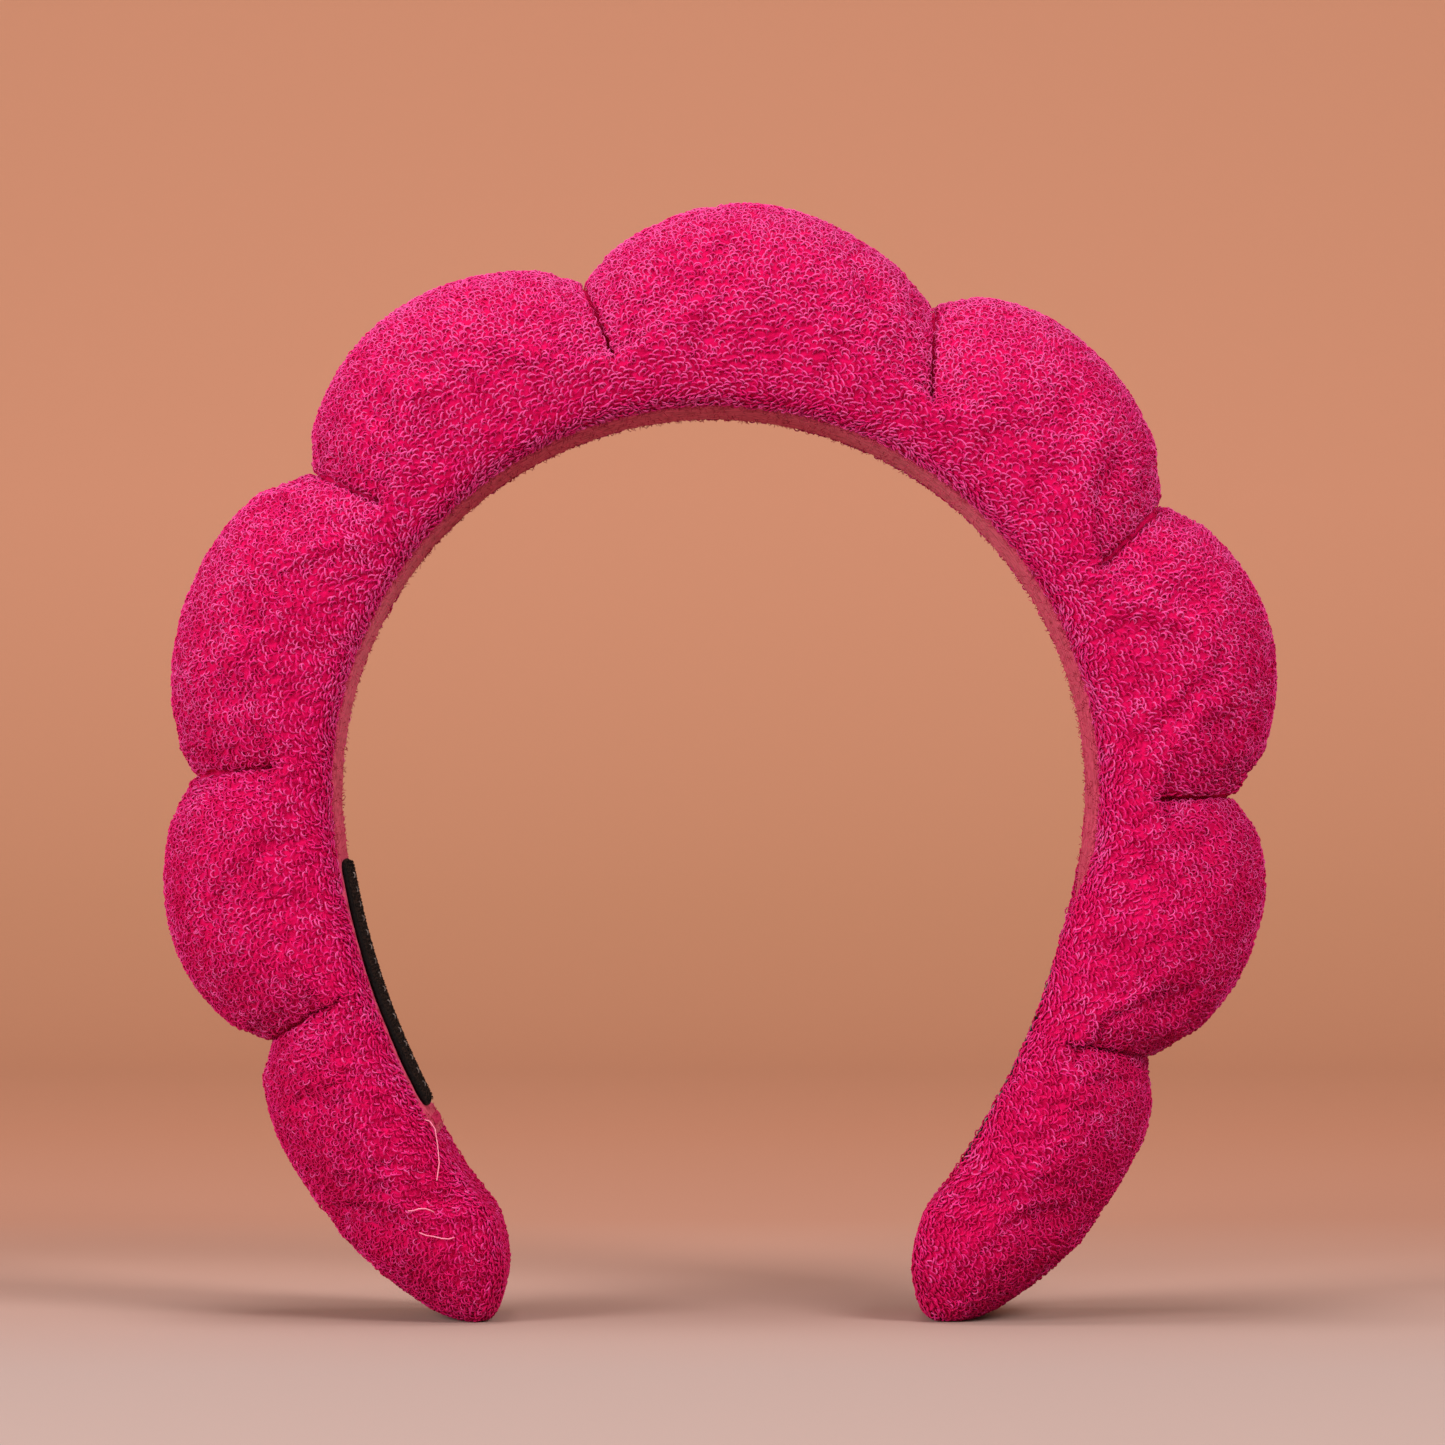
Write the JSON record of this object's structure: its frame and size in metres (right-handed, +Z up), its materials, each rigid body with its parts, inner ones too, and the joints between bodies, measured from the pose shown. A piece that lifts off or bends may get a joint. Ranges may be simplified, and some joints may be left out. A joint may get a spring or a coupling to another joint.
{
  "type": "spa headband",
  "caption": "Puffy terry spa headband: an open springy hoop in a row of cinched puffs, lined, with black grip strips inside its legs.",
  "frame": {"origin": "on the floor that the two tips stand on, under the middle of the headband", "axes": "+Z up through the crown, +Y along the wearer's head from front to back, +X to the right seen from the front"},
  "size_m": [0.187, 0.0446, 0.1875],
  "materials": {
    "terry": "matte",
    "lining": "matte",
    "foam": "matte",
    "hoop": "satin",
    "hook_tape": "matte",
    "grip_thread": "matte",
    "sewing_thread": "matte"
  },
  "bodies": {
    "crown": {"cinch_thread_left_1": "sewing_thread", "cinch_thread_right_1": "sewing_thread", "cover_crown": "terry", "cover_left_1": "terry", "cover_right_1": "terry", "filling_crown": "foam", "filling_left_1": "foam", "filling_right_1": "foam", "hoop_crown": "hoop", "lining_crown": "lining", "rim_thread_crown": "sewing_thread"},
    "left_leg": {"cinch_thread_left_2": "sewing_thread", "cinch_thread_left_3": "sewing_thread", "cinch_thread_left_4": "sewing_thread", "cover_left_2": "terry", "cover_left_3": "terry", "cover_left_4": "terry", "filling_left_2": "foam", "filling_left_3": "foam", "filling_left_4": "foam", "grip_stitching_left": "grip_thread", "grip_strip_left": "hook_tape", "hem_stitching_left": "sewing_thread", "hoop_left": "hoop", "lining_left": "lining", "rim_thread_left": "sewing_thread"},
    "right_leg": {"cinch_thread_right_2": "sewing_thread", "cinch_thread_right_3": "sewing_thread", "cinch_thread_right_4": "sewing_thread", "cover_right_2": "terry", "cover_right_3": "terry", "cover_right_4": "terry", "filling_right_2": "foam", "filling_right_3": "foam", "filling_right_4": "foam", "grip_stitching_right": "grip_thread", "grip_strip_right": "hook_tape", "hem_stitching_right": "sewing_thread", "hoop_right": "hoop", "lining_right": "lining", "rim_thread_right": "sewing_thread"}
  },
  "joints": [
    {"name": "left_leg_flex", "type": "hinge", "parent": "crown", "child": "left_leg", "pos_m": [-0.04831, 0, 0.13298], "axis": [0, 1, 0], "range_deg": [-3, 12], "stiffness_Nm_per_rad": 1.5},
    {"name": "right_leg_flex", "type": "hinge", "parent": "crown", "child": "right_leg", "pos_m": [0.05802, 0, 0.11921], "axis": [0, -1, 0], "range_deg": [-3, 12], "stiffness_Nm_per_rad": 1.5}
  ]
}
